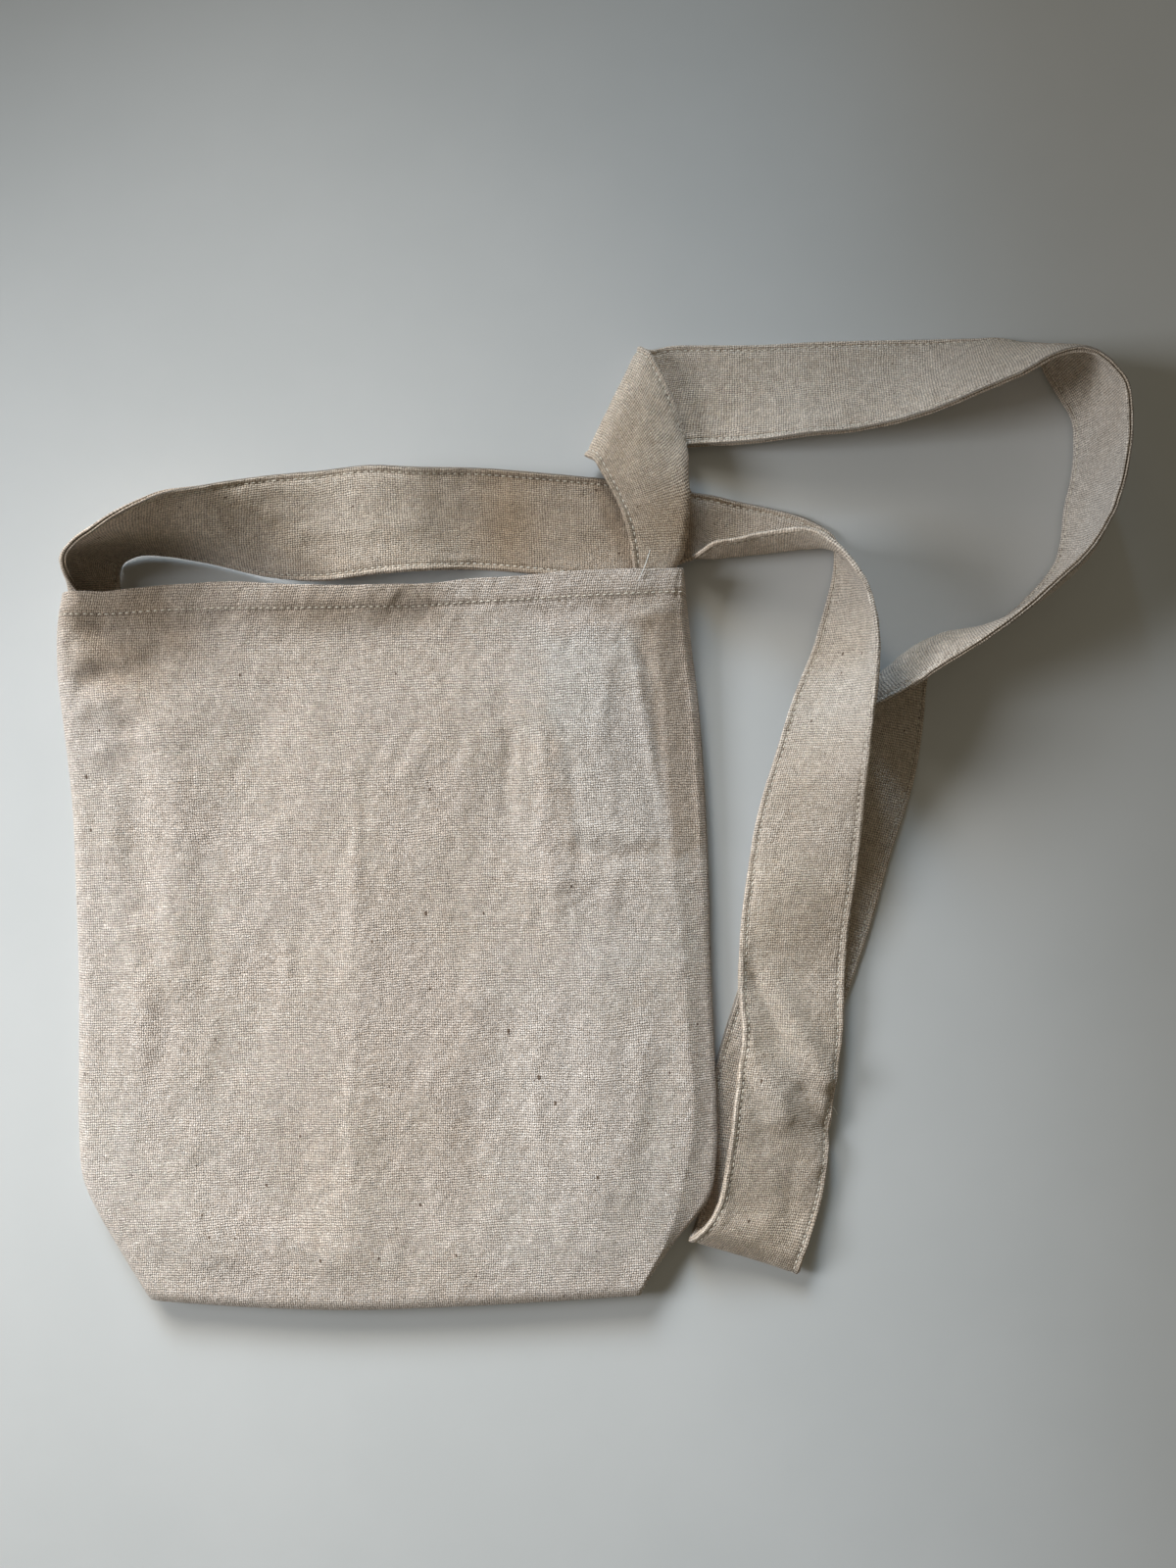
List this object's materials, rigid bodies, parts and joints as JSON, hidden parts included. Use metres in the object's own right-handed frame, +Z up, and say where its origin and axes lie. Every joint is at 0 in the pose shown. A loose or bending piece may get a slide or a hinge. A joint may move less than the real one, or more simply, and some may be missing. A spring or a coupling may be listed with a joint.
{
  "type": "canvas shoulder bag",
  "caption": "Small flat shoulder bag of unbleached cotton canvas, lying on its back, open at a hemmed mouth, with a long flat strap sewn in at both sides and looped beside it",
  "frame": {"origin": "in the middle of the bag's flat back, on the surface that the bag lies on", "axes": "+Z up from the surface, out of the bag's front; +Y from the closed end to the mouth; +X to the bag's right side, where the strap's loops lie"},
  "size_m": [0.3682, 0.3362, 0.0364],
  "materials": {
    "bag_canvas": "unbleached cotton canvas in plain weave, matt, with small dark seed flecks",
    "strap_canvas": "the same canvas folded to a flat strap and stitched along both edges"
  },
  "bodies": {
    "root": {"bag_body": "bag_canvas", "shoulder_strap": "strap_canvas"}
  },
  "joints": []
}
